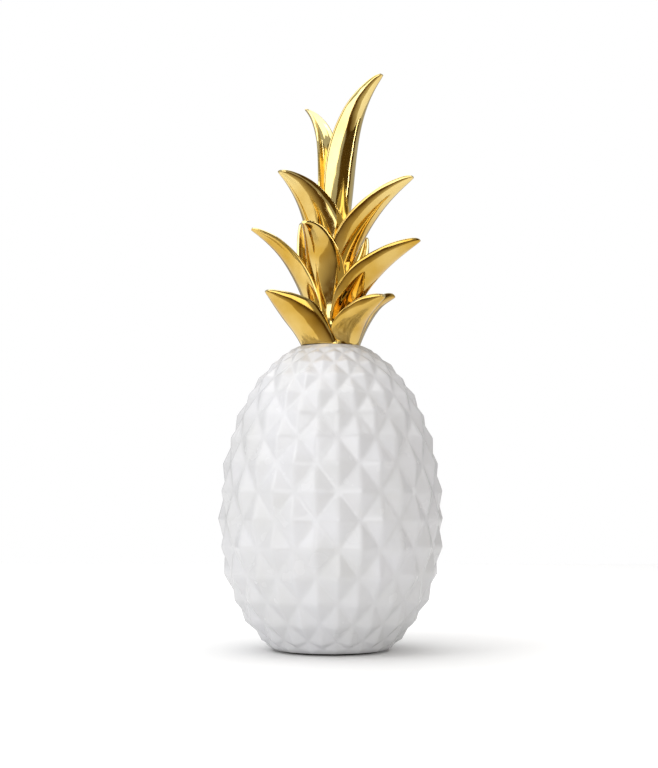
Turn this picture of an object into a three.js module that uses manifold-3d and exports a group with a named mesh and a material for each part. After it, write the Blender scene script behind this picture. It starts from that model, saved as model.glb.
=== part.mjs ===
// Pineapple ornament: an egg-shaped body of glazed white ceramic, carved all over in diamonds, under a
// crown of gilt leaves. Millimetres and degrees, +Z up, front towards -Y. The origin is the middle of the
// foot, on the surface that the ornament stands on.

import * as THREE from "three";
import { mergeVertices } from "three/addons/utils/BufferGeometryUtils.js";
import Module from "manifold-3d";

const wasm = await Module();
wasm.setup();

// The body's outline, through the points of its diamonds
const GIRTH_RADIUS = 62.7;
const GIRTH_HEIGHT = 70.5;
const FOOT_RADIUS = 31;
const NECK_RADIUS = 18;
const NECK_HEIGHT = 168.1;
const FULLNESS = 2.15; // exponent of the outline: 2 makes it an ellipse, more makes it squarer

// The diamonds
const DIAMONDS_AROUND = 16;
const HALF_DIAMONDS_UP = 13;
const LOWEST_POINTS = 6.5; // height of the lowest line of points
const HIGHEST_POINTS = 4.9; // how far below the neck the highest line of points is
const FOOT_BAND = 3.1; // height of the plain band at the foot, which cuts the lowest diamonds short
const COLLAR_BAND = 2.3; // height of the plain collar at the neck, which cuts the highest ones short
const DIAMOND_TAPER = 0.89; // how squat the highest diamonds are, against the lowest
const DIAMOND_SHRINK = 0.7; // how closely the diamonds' height follows the body's radius, as a power of it
const DIAMOND_RELIEF = 0.28; // how far a point stands out, over half the diamond's width
const END_RELIEF = 0.45; // share of that relief left at the foot band and the collar
const LATTICE_TURN = -7.6; // turn of the whole pattern about the body's axis

// The underside
const FOOT_RING_WIDTH = 6;
const FOOT_RECESS = 1.5;

// The crown
const CROWN_GAP = 0.3; // between the neck and the crown that stands on it
const CROWN_HEIGHT = 148.1; // up to the tip of the tallest leaf
const BASE_RING_RADIUS = 15.6;
const BASE_RING_HEIGHT = 1.3;
const STEM_BASE_RADIUS = 13.6;
const STEM_HEIGHT = 88;
const STEM_TOP_RADIUS = 3.5;
const LEAF_THICKNESS = 2.6;
const TIP_THICKNESS = 1.8;
const LEAF_KEEL = 0.1; // height of the ridge down a leaf's back, over half the leaf's width
const ROOT_WRAP = 58; // half the angle of the arc that a leaf's root is bent to
const TIP_WRAP = 76; // and its tip
const LEAF_BEND = 0.38; // how far a leaf keeps the lean of its root and of its tip, over its length
const LEAF_SIDES = 12;
const LEAF_STEPS = 14;
const TIP_ROUNDING = 14; // how late a leaf closes to its tip: more makes the tip blunter
const SMALLEST_EDGE = 0.05; // edges shorter than this, where two leaves just touch, are drawn together

// A leaf's width at each quarter of its length, over its greatest width
const LEAF_OUTLINE = [1, 0.97, 0.67, 0.3];

// The leaves, in four tiers from the neck up. For each: the way its root and its tip face, in degrees from
// the front towards the right; where its root and its tip are, as how far out from the axis and how far
// above the neck; how far it leans from upright at the root and at the tip; and its width at the root and
// at its widest. The lengths are in hundredths of the crown's height.
const LEAVES = [
  { facing: [-48, -56], root: [9.5, -1.4], tip: [28.7, 19], lean: [30, 49], width: [17.2, 17.2] },
  { facing: [62, 48], root: [9.5, -1.4], tip: [26, 16.9], lean: [7, 60], width: [12.2, 19.6] },
  { facing: [116, 109], root: [9.5, -1.4], tip: [25.7, 20], lean: [16, 64], width: [16.2, 18.9] },
  { facing: [178, 180], root: [9.5, -1.4], tip: [26.3, 18.6], lean: [16, 60], width: [16.2, 18.2] },
  { facing: [-128, -134], root: [9.5, -1.4], tip: [25, 18], lean: [16, 58], width: [14.9, 16.9] },

  { facing: [-90, -88], root: [5.4, 6.5], tip: [30, 44.6], lean: [16, 57], width: [10.1, 14.2] },
  { facing: [-26, -23], root: [5.4, 6.5], tip: [25, 43.3], lean: [5, 77], width: [12.8, 14.9] },
  { facing: [75, 70], root: [5.4, 6.5], tip: [35.1, 38.6], lean: [17, 59], width: [15.5, 20.9] },
  { facing: [151, 152], root: [5.4, 6.5], tip: [29.4, 45.6], lean: [14, 33], width: [13.5, 18.2] },
  { facing: [-157, -158], root: [5.4, 6.5], tip: [29.7, 51.7], lean: [20, 38], width: [14.2, 19.6] },

  { facing: [-38, -47], root: [3.4, 20], tip: [26, 63.2], lean: [2, 64], width: [13.5, 18.2] },
  { facing: [74, 60], root: [3.4, 20], tip: [34.8, 61.2], lean: [14, 59], width: [13.5, 18.9] },
  { facing: [178, 178], root: [3.4, 20], tip: [27.7, 61.9], lean: [10, 60], width: [12.8, 17.6] },

  { facing: [64, 50], root: [2.4, 34.2], tip: [24.6, 100], lean: [17, 51], width: [12.8, 16.9] },
  { facing: [-151, -147], root: [2.4, 34.2], tip: [17.2, 94.3], lean: [5, 55], width: [7.4, 10.5] },
];

const GLAZE = new THREE.MeshStandardMaterial({ color: 0xf1f0ee, roughness: 0.16, metalness: 0 });
const GILT = new THREE.MeshStandardMaterial({ color: 0xd9a441, roughness: 0.12, metalness: 1 });

const radians = THREE.MathUtils.degToRad;
const lerp = THREE.MathUtils.lerp;

// The number that the outline's ellipse is stretched to, so that it passes through a given end.
function reachTo(endRadius, height) {
  const closing = 1 - (endRadius / GIRTH_RADIUS) ** FULLNESS;
  return height / closing ** (1 / FULLNESS);
}

const UPPER_REACH = reachTo(NECK_RADIUS, NECK_HEIGHT - GIRTH_HEIGHT);
const LOWER_REACH = reachTo(FOOT_RADIUS, GIRTH_HEIGHT);

function outlineRadius(height) {
  const above = height - GIRTH_HEIGHT;
  const share = above > 0 ? above / UPPER_REACH : -above / LOWER_REACH;
  return GIRTH_RADIUS * (1 - share ** FULLNESS) ** (1 / FULLNESS);
}

// The direction that the outline faces at a height: outwards in x, upwards in y.
function outlineNormal(height) {
  const step = 0.01;
  const slope = (outlineRadius(height + step) - outlineRadius(height - step)) / (2 * step);
  return new THREE.Vector2(1, -slope).normalize();
}

// Heights of the lines that the diamonds' points stand on, and of the foot band's and the collar's edges.
// The space between two lines follows the body's radius there, times a number that changes evenly on the
// way up.
function lineHeights() {
  const samples = 2000;
  const heights = [LOWEST_POINTS];
  const climbed = [0];
  for (let i = 1; i <= samples; i++) {
    const height = lerp(LOWEST_POINTS, NECK_HEIGHT - HIGHEST_POINTS, i / samples);
    const radius = outlineRadius(height);
    const rise = Math.hypot(height - heights[i - 1], radius - outlineRadius(heights[i - 1]));
    heights.push(height);
    climbed.push(climbed[i - 1] + rise / radius ** DIAMOND_SHRINK);
  }
  const steps = [];
  for (let i = 0; i < HALF_DIAMONDS_UP; i++) steps.push(lerp(1, DIAMOND_TAPER, i / (HALF_DIAMONDS_UP - 1)));
  const allSteps = steps.reduce((sum, step) => sum + step, 0);
  const lines = [FOOT_BAND, LOWEST_POINTS];
  let reached = 0;
  for (const step of steps) {
    reached += (step / allSteps) * climbed[samples];
    lines.push(heights[climbed.findIndex((value) => value > reached - 1e-9)]);
  }
  lines.push(NECK_HEIGHT - COLLAR_BAND);
  return lines;
}

// The egg, turned as a lathe shape. Every second corner of its grid is sunk, and each square of the grid is
// split between its two sunk corners, which leaves four-sided points with valleys between them.
function bodyGeometry() {
  const lines = lineHeights();
  const recessRadius = FOOT_RADIUS - FOOT_RING_WIDTH;
  const under = [
    new THREE.Vector2(0, FOOT_RECESS),
    new THREE.Vector2(recessRadius, FOOT_RECESS),
    new THREE.Vector2(recessRadius, 0),
    new THREE.Vector2(FOOT_RADIUS, 0),
  ];
  const points = lines.map((height) => new THREE.Vector2(outlineRadius(height), height));
  const over = [new THREE.Vector2(NECK_RADIUS, NECK_HEIGHT), new THREE.Vector2(0, NECK_HEIGHT)];
  const profile = [...under, ...points, ...over];
  const columns = 2 * DIAMONDS_AROUND;
  const turned = new THREE.LatheGeometry(profile, columns);
  const position = turned.getAttribute("position");
  const count = profile.length;
  const isSunk = (column, line) => (column + line) % 2 === 0;

  for (let column = 0; column <= columns; column++) {
    const angle = (column / columns) * 2 * Math.PI;
    for (let line = 0; line < lines.length; line++) {
      if (!isSunk(column, line)) continue;
      const height = lines[line];
      const atEnd = line === 0 || line === lines.length - 1;
      const halfWidth = (Math.PI / DIAMONDS_AROUND) * outlineRadius(height);
      const sunk = DIAMOND_RELIEF * halfWidth * (atEnd ? END_RELIEF : 1);
      const facing = outlineNormal(height);
      const radius = outlineRadius(height) - sunk * facing.x;
      const vertex = column * count + under.length + line;
      position.setXYZ(vertex, radius * Math.sin(angle), height - sunk * facing.y, radius * Math.cos(angle));
    }
  }

  const index = [];
  for (let column = 0; column < columns; column++) {
    for (let ring = 0; ring < count - 1; ring++) {
      const a = column * count + ring;
      const b = a + count;
      const c = b + 1;
      const d = a + 1;
      const onAxis = [profile[ring].x === 0, profile[ring + 1].x === 0];
      const sunkAtA = isSunk(column, ring - under.length);
      if (onAxis[0]) index.push(a, c, d);
      else if (onAxis[1]) index.push(a, b, d);
      else if (sunkAtA) index.push(a, b, c, a, c, d);
      else index.push(a, b, d, b, c, d);
    }
  }
  turned.setIndex(index);
  turned.rotateX(Math.PI / 2);
  turned.rotateZ(radians(LATTICE_TURN));
  return closed(turned);
}

// The same shape with its shared corners merged, as one closed surface.
function closed(geometry) {
  const bare = new THREE.BufferGeometry().setAttribute("position", geometry.getAttribute("position"));
  bare.setIndex(geometry.getIndex());
  return mergeVertices(bare, 1e-3);
}

function toSolid(geometry) {
  const vertProperties = new Float32Array(geometry.getAttribute("position").array);
  const triVerts = new Uint32Array(geometry.getIndex().array);
  return new wasm.Manifold(new wasm.Mesh({ numProp: 3, vertProperties, triVerts }));
}

function toGeometry(solid) {
  const mesh = solid.getMesh();
  const geometry = new THREE.BufferGeometry();
  geometry.setAttribute("position", new THREE.BufferAttribute(mesh.vertProperties, mesh.numProp));
  geometry.setIndex(new THREE.BufferAttribute(mesh.triVerts, 1));
  return geometry;
}

const signedPower = (value, power) => Math.sign(value) * Math.abs(value) ** power;

const crownShares = (lengths) => lengths.map((length) => (length / 100) * CROWN_HEIGHT);

// A direction across the ground, from the way that something faces.
const towards = (facing) => new THREE.Vector3(Math.sin(radians(facing)), -Math.cos(radians(facing)), 0);

// A place in the crown, from the way that it faces, how far out it is and how high.
const placed = (facing, [out, up]) => towards(facing).multiplyScalar(out).setZ(up);

// One leaf: a ball drawn out along a bent spine. Its poles are the root and the tip, and its sections are
// troughs that are open towards the stem.
function leafGeometry(leaf) {
  const { facing, lean } = leaf;
  const root = crownShares(leaf.root);
  const tip = crownShares(leaf.tip);
  const width = crownShares(leaf.width);
  const reach = LEAF_BEND * Math.hypot(tip[0] - root[0], tip[1] - root[1]);
  const leaning = ([out, up], angle, distance) => [
    out + distance * Math.sin(radians(angle)),
    up + distance * Math.cos(radians(angle)),
  ];
  const spine = new THREE.CubicBezierCurve3(
    placed(facing[0], root),
    placed(facing[0], leaning(root, lean[0], reach)),
    placed(facing[1], leaning(tip, lean[1], -reach)),
    placed(facing[1], tip),
  );
  const widths = [width[0], ...LEAF_OUTLINE.map((part) => part * width[1])];
  const outline = new THREE.SplineCurve(widths.map((value, i) => new THREE.Vector2(i, value)));
  const ball = new THREE.SphereGeometry(1, LEAF_SIDES, LEAF_STEPS);
  const position = ball.getAttribute("position");
  for (let i = 0; i < position.count; i++) {
    const onBall = new THREE.Vector3().fromBufferAttribute(position, i);
    const fromRoot = (Math.acos(THREE.MathUtils.clamp(onBall.y, -1, 1)) / Math.PI) * LEAF_STEPS;
    // The ball's first and last rings are the leaf's ends, and its rings crowd together towards the tip.
    const ringsToTip = THREE.MathUtils.clamp((LEAF_STEPS - 1 - fromRoot) / (LEAF_STEPS - 2), 0, 1);
    const share = 1 - ringsToTip ** 1.4;
    const isPole = Math.hypot(onBall.x, onBall.z) < 1e-6;
    const turn = Math.atan2(onBall.z, onBall.x);
    const along = spine.getTangent(share);
    const side = new THREE.Vector3().crossVectors(along, towards(lerp(facing[0], facing[1], share)));
    side.normalize().negate();
    const outward = new THREE.Vector3().crossVectors(along, side);
    const [across, out] = isPole ? [0, 0] : leafSection(turn, share, outline.getPoint(share).y);
    const point = spine.getPoint(share).addScaledVector(side, across).addScaledVector(outward, out);
    position.setXYZ(i, ...point);
  }
  return closed(ball);
}

// A point of a leaf's section: how far across from the spine, and how far out from it.
function leafSection(turn, share, width) {
  const thickness = lerp(LEAF_THICKNESS, TIP_THICKNESS, share);
  const closing = Math.sqrt(1 - share ** TIP_ROUNDING);
  const halfWidth = Math.max((width / 2) * closing, 0.45 * thickness);
  const wrap = radians(lerp(ROOT_WRAP, TIP_WRAP, share));
  const towardsEdge = signedPower(Math.cos(turn), 0.8);
  const throughLeaf = signedPower(Math.sin(turn), 0.6);
  const bend = halfWidth / Math.sin(wrap);
  const radius = bend + (throughLeaf * thickness) / 2;
  const keel = LEAF_KEEL * halfWidth * (1 - Math.abs(towardsEdge));
  return [radius * Math.sin(wrap * towardsEdge), radius * Math.cos(wrap * towardsEdge) - bend + keel];
}

// The stem that the leaves grow from, which stands on a thin round base and narrows towards its top.
function stemGeometry() {
  const profile = [
    new THREE.Vector2(0, 0),
    new THREE.Vector2(BASE_RING_RADIUS, 0),
    new THREE.Vector2(BASE_RING_RADIUS, BASE_RING_HEIGHT),
    new THREE.Vector2(STEM_BASE_RADIUS, 2 * BASE_RING_HEIGHT),
    new THREE.Vector2(0.95 * STEM_BASE_RADIUS, 0.12 * STEM_HEIGHT),
    new THREE.Vector2(0.6 * STEM_BASE_RADIUS, 0.35 * STEM_HEIGHT),
    new THREE.Vector2(0.45 * STEM_BASE_RADIUS, 0.65 * STEM_HEIGHT),
    new THREE.Vector2(STEM_TOP_RADIUS, STEM_HEIGHT - STEM_TOP_RADIUS),
    new THREE.Vector2(0, STEM_HEIGHT),
  ];
  const stem = new THREE.LatheGeometry(profile, 2 * LEAF_SIDES);
  stem.rotateX(Math.PI / 2);
  return closed(stem);
}

// The whole crown as one casting, cut flat below. Only its outer surface, the largest, is kept, which fills
// the closed pockets between the leaves.
function crownGeometry() {
  let crown = toSolid(stemGeometry());
  for (const leaf of LEAVES) crown = crown.add(toSolid(leafGeometry(leaf)));
  const below = new THREE.BoxGeometry(4 * GIRTH_RADIUS, 4 * GIRTH_RADIUS, NECK_HEIGHT);
  below.translate(0, 0, -NECK_HEIGHT / 2);
  const surfaces = crown.subtract(toSolid(closed(below))).decompose();
  const outer = surfaces.reduce((largest, next) => (next.volume() > largest.volume() ? next : largest));
  return toGeometry(outer.simplify(SMALLEST_EDGE));
}

function named(name, geometry, material) {
  const mesh = new THREE.Mesh(geometry, material);
  mesh.name = name;
  return mesh;
}

const ornament = new THREE.Group();
ornament.add(named("body", bodyGeometry(), GLAZE));
const crown = named("crown", crownGeometry(), GILT);
crown.position.z = NECK_HEIGHT + CROWN_GAP;
ornament.add(crown);

export default ornament;
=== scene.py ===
# Pineapple ornament: a slip-cast body under thick white glaze, and a crown of gilt leaves.
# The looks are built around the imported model. The frame is in metres, +Z up, front towards -Y, with the
# origin in the middle of the foot. The lengths named below are in millimetres, and the studio's places
# and sizes are in metres.
from math import acos, atan2, cos, hypot, pi, radians, sin, sqrt

import bmesh
import bpy
from mathutils import Matrix, Vector, noise


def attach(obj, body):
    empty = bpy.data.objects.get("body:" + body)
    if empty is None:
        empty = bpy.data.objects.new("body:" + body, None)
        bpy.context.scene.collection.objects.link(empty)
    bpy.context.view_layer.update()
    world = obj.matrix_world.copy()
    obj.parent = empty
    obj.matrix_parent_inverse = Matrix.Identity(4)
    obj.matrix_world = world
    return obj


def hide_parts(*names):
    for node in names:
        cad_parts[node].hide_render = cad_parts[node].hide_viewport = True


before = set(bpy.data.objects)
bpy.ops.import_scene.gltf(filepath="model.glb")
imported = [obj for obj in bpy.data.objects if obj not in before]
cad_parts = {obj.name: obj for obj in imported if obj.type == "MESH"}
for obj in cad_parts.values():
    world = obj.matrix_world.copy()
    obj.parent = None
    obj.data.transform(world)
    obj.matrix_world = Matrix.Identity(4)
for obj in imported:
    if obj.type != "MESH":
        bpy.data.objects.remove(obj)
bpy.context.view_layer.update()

MM = 0.001
SAME_POINT = 0.001  # how near points are that count as one
LEVEL = 0.01  # how near to the table a point is that counts as on it
SHARP_EDGE = 32  # angle in degrees over which an edge looks sharp

# The body's edges, as the glaze rounds them
FOOT_MIDDLE_RADIUS = 28  # of the middle of the foot ring, outside which its outer edge lies
FOOT_CONTACT_RADIUS = 28.2  # of the outer edge of what touches the table
FOOT_LIFT = 1.1  # height of the foot's outer edge over the table, which shows as a dark line
FOOT_TOP = 2.5  # height of the plain band above the foot ring
GLAZE_START = 2.9  # height over which the glaze rounds the edges
FACET_CUTS = 7  # how finely each facet is divided, for the glaze to round its edges
UPPER_ROWS = (118, 165)  # heights between which the glaze lies thickest and the points are softest
GLAZE_FLOW = 0.5  # how far each point of the glaze is drawn to the middle of its neighbours

# The crown, which stands just clear of the neck
NECK_HEIGHT = 168.1
CROWN_GAP = 0.3
CROWN_HEIGHT = 148.05
BASE_RING_RADIUS = 15.6
BASE_RING_HEIGHT = 1.3
STEM_BASE_RADIUS = 13.6
STEM_HEIGHT = 88
STEM_TOP_RADIUS = 3.5
LEAF_THICKNESS = 2.6
TIP_THICKNESS = 1.8
LEAF_KEEL = 0.1  # height of the ridge down a leaf's back, over half the leaf's width
ROOT_WRAP = 58  # half the angle of the arc that a leaf's root is bent to
TIP_WRAP = 76  # and its tip
LEAF_BEND = 0.38  # how far a leaf keeps the lean of its root and of its tip, over its length
LEAF_SIDES = 56
LEAF_STEPS = 60
STEP_CROWDING = 1.4  # how closely a leaf's sections crowd towards its tip
TIP_ROUNDING = 14  # how late a leaf closes to its tip
TIP_WIDTH = 0.9  # a leaf's least width, over its thickness
EDGE_SQUARENESS = (0.6, 0.42)  # of a leaf's section, across and through: 1 is round, less is squarer
FLUTES = 2.6  # how closely the hand-modelled hollows lie side by side along a leaf
FLUTE_WANDER = 1.6  # and how much they change over its length
FLUTE_DEPTH = 0.6

# A leaf's width at each quarter of its length, over its greatest width
LEAF_OUTLINE = [1, 0.97, 0.67, 0.3]

# The leaves, in four tiers from the neck up: the way that the root and the tip face, in degrees from
# the front towards the right; the root's and the tip's distance from the axis and height above the
# neck; the lean from upright at both; and the width at the root and at its widest. Lengths are
# hundredths of the crown's height.
LEAVES = [
    ((-48, -56), (9.5, -1.4), (28.7, 19), (30, 49), (17.2, 17.2)),
    ((62, 48), (9.5, -1.4), (26, 16.9), (7, 60), (12.2, 19.6)),
    ((116, 109), (9.5, -1.4), (25.7, 20), (16, 64), (16.2, 18.9)),
    ((178, 180), (9.5, -1.4), (26.3, 18.6), (16, 60), (16.2, 18.2)),
    ((-128, -134), (9.5, -1.4), (25, 18), (16, 58), (14.9, 16.9)),
    ((-90, -88), (5.4, 6.5), (30, 44.6), (16, 57), (10.1, 14.2)),
    ((-26, -23), (5.4, 6.5), (25, 43.3), (5, 77), (12.8, 14.9)),
    ((75, 70), (5.4, 6.5), (35.1, 38.6), (17, 59), (15.5, 20.9)),
    ((151, 152), (5.4, 6.5), (29.4, 45.6), (14, 33), (13.5, 18.2)),
    ((-157, -158), (5.4, 6.5), (29.7, 51.7), (20, 38), (14.2, 19.6)),
    ((-38, -47), (3.4, 20), (26, 63.2), (2, 64), (13.5, 18.2)),
    ((74, 60), (3.4, 20), (34.8, 61.2), (14, 59), (13.5, 18.9)),
    ((178, 178), (3.4, 20), (27.7, 61.9), (10, 60), (12.8, 17.6)),
    ((64, 50), (2.4, 34.2), (24.6, 100), (17, 51), (12.8, 16.9)),
    ((-151, -147), (2.4, 34.2), (17.2, 94.3), (5, 55), (7.4, 10.5)),
]

# Where the gold is painted paler, as painted light from above
TOP_LEAVES = (225, 280)  # heights between which it turns paler
UP_FACING_LIGHT = (0.05, 0.35)  # how much a surface faces up: 0 is sideways and 1 straight up
STEM_HOLLOWS = (20, 9)  # distances from the crown's axis

# The studio
ROOM_LIGHT = 0.45  # of the room, where the camera doesn't see it
FLOOR_LIGHT = 0.34  # given out by the floor away from the ornament, for it to look white
SHADOW_LIGHT = 0.09  # and close to the foot, where the shadow lies
SHADOW_REACH = (30, 160)  # distances from the middle of the foot between which it rises


# Meshes

def lerp(start, end, share):
    return start + (end - start) * share


def piece_from(name, shape, material, stands_for):
    """Makes a finished shape a piece of the ornament, in place of a node of the model."""
    mesh = bpy.data.meshes.new(name)
    shape.to_mesh(mesh)
    shape.free()
    mesh.materials.append(material)
    piece = bpy.data.objects.new(name, mesh)
    bpy.context.scene.collection.objects.link(piece)
    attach(piece, "root")
    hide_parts(stands_for)
    return piece


def let_flow(shape, points):
    """Rounds ridges and fills valleys a little, as glaze does when it is fired."""
    bmesh.ops.smooth_vert(
        shape, verts=points, factor=GLAZE_FLOW, use_axis_x=True, use_axis_y=True, use_axis_z=True,
    )


def glazed_body_shape():
    """The carved egg, with its ridges and valleys rounded by the glaze."""
    egg = bmesh.new()
    egg.from_mesh(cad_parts["body"].data)
    bmesh.ops.remove_doubles(egg, verts=egg.verts, dist=SAME_POINT * MM)
    # The foot's outer edge gets a bevel, which is then drawn in to an upright step under the glaze.
    standing = [v for v in egg.verts if abs(v.co.z) < LEVEL * MM]
    outer = {v for v in standing if hypot(v.co.x, v.co.y) > FOOT_MIDDLE_RADIUS * MM}
    standing_edge = [
        e for e in egg.edges
        if outer.issuperset(e.verts) and abs(e.calc_face_angle_signed()) > radians(20)
    ]
    bmesh.ops.bevel(
        egg, geom=standing_edge, offset=1.5 * FOOT_LIFT * MM, offset_type="OFFSET", segments=2,
        profile=0.5, affect="EDGES", material=-1, clamp_overlap=True,
    )
    for vertex in egg.verts:
        from_axis = hypot(vertex.co.x, vertex.co.y)
        if from_axis > FOOT_MIDDLE_RADIUS * MM and vertex.co.z < 0.6 * FOOT_LIFT * MM:
            vertex.co.xy *= FOOT_CONTACT_RADIUS * MM / from_axis
            vertex.co.z = FOOT_LIFT * MM if vertex.co.z > LEVEL * MM else 0
    facet_edges = [e for e in egg.edges if min(v.co.z for v in e.verts) > FOOT_TOP * MM]
    bmesh.ops.subdivide_edges(egg, edges=facet_edges, cuts=FACET_CUTS, use_grid_fill=True)
    bmesh.ops.triangulate(egg, faces=[f for f in egg.faces if len(f.verts) > 4])
    glazed = [v for v in egg.verts if v.co.z > GLAZE_START * MM]
    let_flow(egg, glazed)
    let_flow(egg, [v for v in glazed if UPPER_ROWS[0] * MM < v.co.z < UPPER_ROWS[1] * MM])
    egg.normal_update()
    return egg


def along_points(values, share):
    """A smooth line through evenly spaced values, read at a share of its length."""
    place = share * (len(values) - 1)
    first = min(int(place), len(values) - 2)
    part = place - first
    before = values[max(first - 1, 0)]
    start, end = values[first], values[first + 1]
    after = values[min(first + 2, len(values) - 1)]
    leaving, arriving = (end - before) / 2, (after - start) / 2
    return (
        (2 * start - 2 * end + leaving + arriving) * part ** 3
        + (3 * end - 3 * start - 2 * leaving - arriving) * part ** 2
        + leaving * part
        + start
    )


def towards(facing):
    """A direction across the ground, from the way that something faces."""
    return Vector((sin(radians(facing)), -cos(radians(facing)), 0))


def placed(facing, out, up):
    return towards(facing) * out + Vector((0, 0, up))


def signed_power(value, power):
    return abs(value) ** power * (1 if value >= 0 else -1)


def leaf_shape(facing, root, tip, lean, width):
    """One leaf: a ball drawn out along a bent spine, its sections troughs open towards the stem."""
    root, tip, width = ([part / 100 * CROWN_HEIGHT for part in pair] for pair in (root, tip, width))
    reach = LEAF_BEND * hypot(tip[0] - root[0], tip[1] - root[1])
    rising, arriving = [(reach * sin(radians(angle)), reach * cos(radians(angle))) for angle in lean]
    corners = [
        placed(facing[0], *root),
        placed(facing[0], root[0] + rising[0], root[1] + rising[1]),
        placed(facing[1], tip[0] - arriving[0], tip[1] - arriving[1]),
        placed(facing[1], *tip),
    ]
    widths = [width[0]] + [part * width[1] for part in LEAF_OUTLINE]
    ball = bmesh.new()
    bmesh.ops.create_uvsphere(ball, u_segments=LEAF_SIDES, v_segments=LEAF_STEPS, radius=1)
    for vertex in ball.verts:
        on_ball = vertex.co.copy()
        from_root = acos(max(-1, min(1, on_ball.z))) / pi * LEAF_STEPS
        # The ball's first and last rings are the leaf's two ends.
        rings_to_tip = max(0, min(1, (LEAF_STEPS - 1 - from_root) / (LEAF_STEPS - 2)))
        share = 1 - rings_to_tip ** STEP_CROWDING
        rest = 1 - share
        spine = (
            corners[0] * rest ** 3 + corners[1] * 3 * rest ** 2 * share
            + corners[2] * 3 * rest * share ** 2 + corners[3] * share ** 3
        )
        along = (
            (corners[1] - corners[0]) * rest ** 2 + (corners[2] - corners[1]) * 2 * rest * share
            + (corners[3] - corners[2]) * share ** 2
        ).normalized()
        side = -along.cross(towards(lerp(*facing, share))).normalized()
        outward = along.cross(side)
        if hypot(on_ball.x, on_ball.y) < 1e-6:
            across, out = 0, 0
        else:
            across, out = leaf_section(atan2(on_ball.y, on_ball.x), share, along_points(widths, share))
        place_across = FLUTES * on_ball.x / max(hypot(on_ball.x, on_ball.y), 1e-6)
        flute = FLUTE_DEPTH * noise.noise(Vector((place_across, FLUTE_WANDER * share, facing[0] / 10)))
        # The hollows fade out over the last quarter.
        vertex.co = spine + side * across + outward * (out + flute * min(1, 4 * rest))
    bmesh.ops.recalc_face_normals(ball, faces=ball.faces)
    return ball


def leaf_section(turn, share, width):
    """A point of a leaf's section: how far across from the spine, and how far out from it."""
    thickness = lerp(LEAF_THICKNESS, TIP_THICKNESS, share)
    closing = sqrt(1 - share ** TIP_ROUNDING)
    half_width = max(width * closing, TIP_WIDTH * thickness) / 2
    wrap = radians(lerp(ROOT_WRAP, TIP_WRAP, share))
    towards_edge = signed_power(cos(turn), EDGE_SQUARENESS[0])
    through_leaf = signed_power(sin(turn), EDGE_SQUARENESS[1])
    bend = half_width / sin(wrap)
    radius = bend + through_leaf * thickness / 2
    keel = LEAF_KEEL * half_width * (1 - abs(towards_edge))
    return radius * sin(wrap * towards_edge), radius * cos(wrap * towards_edge) - bend + keel


def stem_shape():
    """The stem that the leaves grow from, turned from its half outline."""
    outline = [
        (0, 0), (BASE_RING_RADIUS, 0), (BASE_RING_RADIUS, BASE_RING_HEIGHT),
        (STEM_BASE_RADIUS, 2 * BASE_RING_HEIGHT), (0.95 * STEM_BASE_RADIUS, 0.12 * STEM_HEIGHT),
        (0.6 * STEM_BASE_RADIUS, 0.35 * STEM_HEIGHT), (0.45 * STEM_BASE_RADIUS, 0.65 * STEM_HEIGHT),
        (STEM_TOP_RADIUS, STEM_HEIGHT - STEM_TOP_RADIUS), (0, STEM_HEIGHT),
    ]
    stem = bmesh.new()
    corners = [stem.verts.new((radius, 0, height)) for radius, height in outline]
    edges = [stem.edges.new(pair) for pair in zip(corners, corners[1:])]
    bmesh.ops.spin(
        stem, geom=corners + edges, cent=(0, 0, 0), axis=(0, 0, 1), angle=2 * pi, steps=2 * LEAF_SIDES,
        use_merge=True,
    )
    bmesh.ops.remove_doubles(stem, verts=stem.verts, dist=0.01)
    bmesh.ops.recalc_face_normals(stem, faces=stem.faces)
    return stem


def joined(shapes):
    """Closed shapes joined into one solid, without what lies inside it."""
    parts = []
    for number, shape in enumerate(shapes):
        mesh = bpy.data.meshes.new(f"casting_part_{number}")
        shape.to_mesh(mesh)
        shape.free()
        part = bpy.data.objects.new(mesh.name, mesh)
        bpy.context.scene.collection.objects.link(part)
        parts.append(part)
    casting = parts[0]
    for part in parts[1:]:
        union = casting.modifiers.new("union", "BOOLEAN")
        union.operation = "UNION"
        union.solver = "MANIFOLD"
        union.object = part
    solid = bmesh.new()
    solid.from_object(casting, bpy.context.evaluated_depsgraph_get())
    for part in parts:
        mesh = part.data
        bpy.data.objects.remove(part)
        bpy.data.meshes.remove(mesh)
    return solid


def without_slivers(shape):
    """Keeps a shape's main shell, and deletes the slivers that the joining leaves beside it."""
    shells, reached = [], set()
    for start in shape.verts:
        if start in reached:
            continue
        shell = [start]
        reached.add(start)
        for vertex in shell:
            for face in vertex.link_faces:
                for corner in face.verts:
                    if corner not in reached:
                        reached.add(corner)
                        shell.append(corner)
        shells.append(shell)
    shells.sort(key=len)
    for sliver in shells[:-1]:
        bmesh.ops.delete(shape, geom=sliver, context="VERTS")


def crown_shape():
    """The crown as one casting, cut flat where it stands on the neck."""
    crown = joined([stem_shape()] + [leaf_shape(*leaf) for leaf in LEAVES])
    whole = crown.verts[:] + crown.edges[:] + crown.faces[:]
    bmesh.ops.bisect_plane(
        crown, geom=whole, plane_co=(0, 0, 0), plane_no=(0, 0, 1), clear_inner=True,
    )
    bmesh.ops.holes_fill(crown, edges=[e for e in crown.edges if e.is_boundary])
    without_slivers(crown)
    place = Matrix.Translation((0, 0, (NECK_HEIGHT + CROWN_GAP) * MM)) @ Matrix.Scale(MM, 4)
    bmesh.ops.transform(crown, matrix=place, verts=crown.verts)
    crown.normal_update()
    return crown


# Materials

def linear(hex_colour):
    """An sRGB hex value as the linear colour that shaders take."""
    parts = [int(hex_colour[i:i + 2], 16) / 255 for i in (1, 3, 5)]
    return [p / 12.92 if p <= 0.04045 else ((p + 0.055) / 1.055) ** 2.4 for p in parts] + [1]


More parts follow.
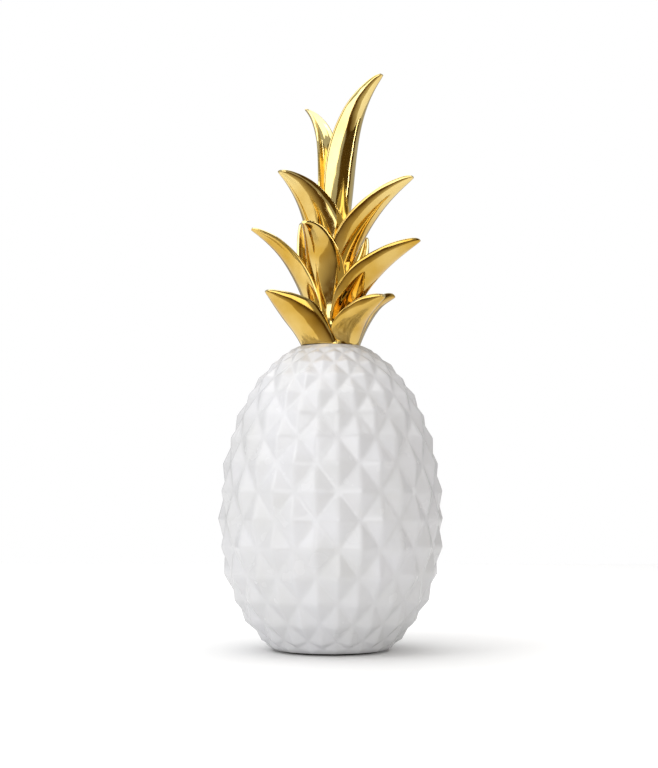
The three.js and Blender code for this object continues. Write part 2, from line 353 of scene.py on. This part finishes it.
def add(tree, kind, inputs=None, **settings):
    """Adds a node to a tree, with its settings, and with a link or a value for each named input."""
    node = tree.nodes.new(kind)
    for name, value in settings.items():
        setattr(node, name, value)
    for name, source in (inputs or {}).items():
        sockets = [socket for socket in node.inputs if socket.enabled]
        socket = sockets[name] if isinstance(name, int) else next(s for s in sockets if s.name == name)
        if isinstance(source, bpy.types.NodeSocket):
            tree.links.new(source, socket)
        else:
            socket.default_value = source
    return node


def new_material(name):
    material = bpy.data.materials.new(name)
    material.use_nodes = True
    material.node_tree.nodes.clear()
    return material, material.node_tree


def mixed(tree, factor, first, second):
    """Two colours, mixed by a factor."""
    mix = add(tree, "ShaderNodeMix", {"Factor": factor, "A": first, "B": second}, data_type="RGBA")
    return next(socket for socket in mix.outputs if socket.enabled)


def spread(tree, value, low, high):
    """A noise's middle values, 0.35 to 0.65, stretched over a range."""
    return add(tree, "ShaderNodeMapRange", {
        "Value": value, "From Min": 0.35, "From Max": 0.65, "To Min": low, "To Max": high,
    }).outputs["Result"]


def gloss_glaze():
    """White gloss glaze, fired on earthenware: bright, a little greyer where it ran deeper, with faint
    swells 5 mm apart and a gloss that is uneven in patches. The foot, up to its lifted edge, is painted
    near-black, as painted shade of the gap under the foot."""
    material, tree = new_material("gloss_glaze")
    place = add(tree, "ShaderNodeTexCoord").outputs["Object"]
    depth = add(tree, "ShaderNodeTexNoise", {"Vector": place, "Scale": 1 / (30 * MM), "Detail": 3.0})
    glaze = mixed(tree, spread(tree, depth.outputs["Fac"], 0, 1), linear("#E4E4E7"), linear("#DFDFE0"))
    height = add(tree, "ShaderNodeSeparateXYZ", {"Vector": place}).outputs["Z"]
    # Painted shade: the foot up to its lifted edge is near-black, for the dark gap under it.
    glazed = add(tree, "ShaderNodeMapRange", {
        "Value": height, "From Min": FOOT_LIFT * MM, "From Max": (FOOT_LIFT + 0.3) * MM,
    }).outputs["Result"]
    colour = mixed(tree, glazed, linear("#2E2721"), glaze)
    swell = add(tree, "ShaderNodeTexNoise", {"Vector": place, "Scale": 1 / (5 * MM), "Detail": 3.0})
    bump = add(tree, "ShaderNodeBump", {
        "Height": swell.outputs["Fac"], "Strength": 1.0, "Distance": 0.2 * MM,
    })
    cooling = add(tree, "ShaderNodeTexNoise", {"Vector": place, "Scale": 1 / (14 * MM), "Detail": 2.0})
    shader = add(tree, "ShaderNodeBsdfPrincipled", {
        "Base Color": colour, "IOR": 1.5,
        "Roughness": spread(tree, cooling.outputs["Fac"], 0.15, 0.28),
        "Normal": bump.outputs["Normal"],
    })
    add(tree, "ShaderNodeOutputMaterial", {"Surface": shader.outputs["BSDF"]})
    return material


def bright_gilding():
    """Liquid bright gold, brushed on and fired: a warm mirror with soft waves from the modelled leaves.
    It is browner where it is thin, and it is painted paler on the top leaves, on surfaces that face up
    and by the stem, as painted light from above."""
    material, tree = new_material("bright_gilding")
    place = add(tree, "ShaderNodeTexCoord").outputs["Object"]
    thinness = add(tree, "ShaderNodeTexNoise", {"Vector": place, "Scale": 1 / (22 * MM), "Detail": 3.0})
    height = add(tree, "ShaderNodeSeparateXYZ", {"Vector": place}).outputs["Z"]
    # Painted light: the gold turns paler towards the top, where it faces up and near the stem, as if lit
    # from above.
    upper = add(tree, "ShaderNodeMapRange", {
        "Value": height, "From Min": TOP_LEAVES[0] * MM, "From Max": TOP_LEAVES[1] * MM, "To Max": 0.6,
    }).outputs["Result"]
    facing_up = add(tree, "ShaderNodeSeparateXYZ", {
        "Vector": add(tree, "ShaderNodeTexCoord").outputs["Normal"],
    }).outputs["Z"]
    inner = add(tree, "ShaderNodeMapRange", {
        "Value": facing_up, "From Min": UP_FACING_LIGHT[0], "From Max": UP_FACING_LIGHT[1], "To Max": 0.8,
    }).outputs["Result"]
    level = add(tree, "ShaderNodeVectorMath", {0: place, 1: (1, 1, 0)}, operation="MULTIPLY")
    from_stem = add(tree, "ShaderNodeVectorMath", {0: level.outputs["Vector"]}, operation="LENGTH")
    hollow = add(tree, "ShaderNodeMapRange", {
        "Value": from_stem.outputs["Value"], "From Min": STEM_HOLLOWS[0] * MM,
        "From Max": STEM_HOLLOWS[1] * MM, "To Max": 0.9,
    }).outputs["Result"]
    painted_top_light = add(tree, "ShaderNodeMath", {0: inner, 1: hollow}, operation="MAXIMUM").outputs["Value"]
    painted_light = add(tree, "ShaderNodeMath", {0: painted_top_light, 1: upper}, operation="MAXIMUM").outputs["Value"]
    paler = add(tree, "ShaderNodeMath", {
        0: spread(tree, thinness.outputs["Fac"], 0, 0.35), 1: painted_light,
    }, operation="ADD", use_clamp=True).outputs["Value"]
    colour = mixed(tree, paler, linear("#C49A3A"), linear("#F3DD97"))
    wiping = add(tree, "ShaderNodeTexNoise", {"Vector": place, "Scale": 1 / (6 * MM), "Detail": 4.0})
    wave = add(tree, "ShaderNodeTexNoise", {"Vector": place, "Scale": 1 / (13 * MM), "Detail": 1.0})
    bump = add(tree, "ShaderNodeBump", {
        "Height": wave.outputs["Fac"], "Strength": 1.0, "Distance": 0.35 * MM,
    })
    shader = add(tree, "ShaderNodeBsdfPrincipled", {
        "Base Color": colour, "Metallic": 1.0,
        "Roughness": spread(tree, wiping.outputs["Fac"], 0.05, 0.14),
        "Normal": bump.outputs["Normal"],
    })
    add(tree, "ShaderNodeOutputMaterial", {"Surface": shader.outputs["BSDF"]})
    return material


# The ornament

body = piece_from("glazed_body", glazed_body_shape(), gloss_glaze(), "body")
crown = piece_from("gilt_crown", crown_shape(), bright_gilding(), "crown")
for piece in (body, crown):
    piece.data.shade_smooth()
    piece.data.set_sharp_from_angle(angle=radians(SHARP_EDGE))


# The studio

def white_floor():
    """White to the camera. It throws less light up at the body, so that the facets keep their shade."""
    material, tree = new_material("matt_white_floor")
    thrown = add(tree, "ShaderNodeLightPath").outputs["Is Diffuse Ray"]
    place = add(tree, "ShaderNodeTexCoord").outputs["Object"]
    from_middle = add(tree, "ShaderNodeVectorMath", {0: place}, operation="LENGTH").outputs["Value"]
    glow = add(tree, "ShaderNodeMapRange", {
        "Value": from_middle, "From Min": SHADOW_REACH[0] * MM, "From Max": SHADOW_REACH[1] * MM,
        "To Min": SHADOW_LIGHT, "To Max": FLOOR_LIGHT,
    }).outputs["Result"]
    shader = add(tree, "ShaderNodeBsdfPrincipled", {
        "Base Color": mixed(tree, thrown, linear("#EDEDED"), linear("#C8C8C8")), "Roughness": 0.8,
        "Emission Color": linear("#FFFFFF"), "Emission Strength": glow,
    })
    add(tree, "ShaderNodeOutputMaterial", {"Surface": shader.outputs["BSDF"]})
    shape = bmesh.new()
    bmesh.ops.create_grid(shape, x_segments=1, y_segments=1, size=0.95)
    mesh = bpy.data.meshes.new("floor")
    shape.to_mesh(mesh)
    shape.free()
    mesh.materials.append(material)
    floor = bpy.data.objects.new("floor", mesh)
    bpy.context.scene.collection.objects.link(floor)


def soft_box(name, place, aim, size, power):
    lamp = bpy.data.lights.new(name, "AREA")
    lamp.shape = "RECTANGLE"
    lamp.size, lamp.size_y = size
    lamp.energy = power
    box = bpy.data.objects.new(name, lamp)
    box.location = place
    box.rotation_euler = (Vector(aim) - Vector(place)).to_track_quat("-Z", "Y").to_euler()
    box.visible_camera = False
    bpy.context.scene.collection.objects.link(box)


def reflector_card(name, colour, place, aim, size):
    """A card out of the camera's sight, for a mirror-like surface to show."""
    material, tree = new_material(name + "_paint")
    shader = add(tree, "ShaderNodeBsdfDiffuse", {"Color": linear(colour)})
    add(tree, "ShaderNodeOutputMaterial", {"Surface": shader.outputs["BSDF"]})
    card_object(name, material, place, aim, size)


def card_object(name, material, place, aim, size):
    """A flat card that the camera doesn't see."""
    shape = bmesh.new()
    turn = (Vector(aim) - Vector(place)).to_track_quat("-Z", "Y").to_matrix().to_4x4()
    matrix = Matrix.Translation(place) @ turn @ Matrix.Diagonal((size[0], size[1], 1, 1))
    bmesh.ops.create_grid(shape, x_segments=1, y_segments=1, size=0.5, matrix=matrix)
    mesh = bpy.data.meshes.new(name)
    shape.to_mesh(mesh)
    shape.free()
    mesh.materials.append(material)
    card = bpy.data.objects.new(name, mesh)
    card.visible_camera = False
    bpy.context.scene.collection.objects.link(card)
    return card


def mirrored_table():
    """A painted reflection for the gilding: a sheet that only mirror-like surfaces show, over the
    table's near side, darker towards the camera.
    """
    material, tree = new_material("painted_table_reflection")
    place = add(tree, "ShaderNodeTexCoord").outputs["Object"]
    nearness = add(tree, "ShaderNodeMapRange", {
        "Value": add(tree, "ShaderNodeSeparateXYZ", {"Vector": place}).outputs["Y"],
        "From Min": -0.22, "From Max": -0.62,
    }).outputs["Result"]
    # Painted reflection: pale near the ornament, dark brown towards the camera.
    colour = mixed(tree, nearness, linear("#D4C8A8"), linear("#5E4517"))
    shader = add(tree, "ShaderNodeBsdfDiffuse", {"Color": colour})
    add(tree, "ShaderNodeOutputMaterial", {"Surface": shader.outputs["BSDF"]})
    card = card_object("table_card", material, (0.25, -0.65, 0.004), (0.25, -0.65, 1), (1.6, 0.86))
    card.visible_diffuse = False
    card.visible_shadow = False


def pale_room():
    """White to the camera. What it lights and what it shows in the gilding is a little darker."""
    room = bpy.data.worlds.new("pale_room")
    room.use_nodes = True
    room.node_tree.nodes.clear()
    tree = room.node_tree
    to_camera = add(tree, "ShaderNodeLightPath").outputs["Is Camera Ray"]
    strength = add(tree, "ShaderNodeMapRange", {"Value": to_camera, "To Min": ROOM_LIGHT})
    light = add(tree, "ShaderNodeBackground", {
        "Color": linear("#FFFFFF"), "Strength": strength.outputs["Result"],
    })
    add(tree, "ShaderNodeOutputWorld", {"Surface": light.outputs["Background"]})
    bpy.context.scene.world = room


white_floor()
pale_room()
soft_box("front_soft_box", (0.02, -1.5, 0.27), (0, 0, 0.2), (1.5, 0.85), 7.7)
soft_box("left_soft_box", (-1.0, -0.65, 0.7), (0, 0, 0.15), (0.6, 1.3), 3.8)
soft_box("top_soft_box", (-0.25, 0.1, 1.45), (0, 0.1, 0), (1.9, 1.5), 14.5)
soft_box("right_strip_box", (1.0, 0.1, 0.5), (0, 0, 0.2), (0.05, 1.2), 1.3)
reflector_card("right_card", "#57431D", (1.05, -0.25, 0.45), (0, 0, 0.2), (1.5, 1.4))
reflector_card("front_card", "#8E8568", (0, -1.5, 1.1), (0, 0, 0.2), (2.2, 0.8))
mirrored_table()

# The camera stands where the photograph's perspective says that it stood.
lens = bpy.data.cameras.new("camera")
lens.lens = 70.3
lens.sensor_width = 36
camera = bpy.data.objects.new("camera", lens)
camera.location = (-0.0011, -0.8358, 0.0887)
camera.rotation_euler = (radians(94), 0, 0)
bpy.context.scene.collection.objects.link(camera)
bpy.context.scene.camera = camera
bpy.context.scene.view_settings.view_transform = "Standard"
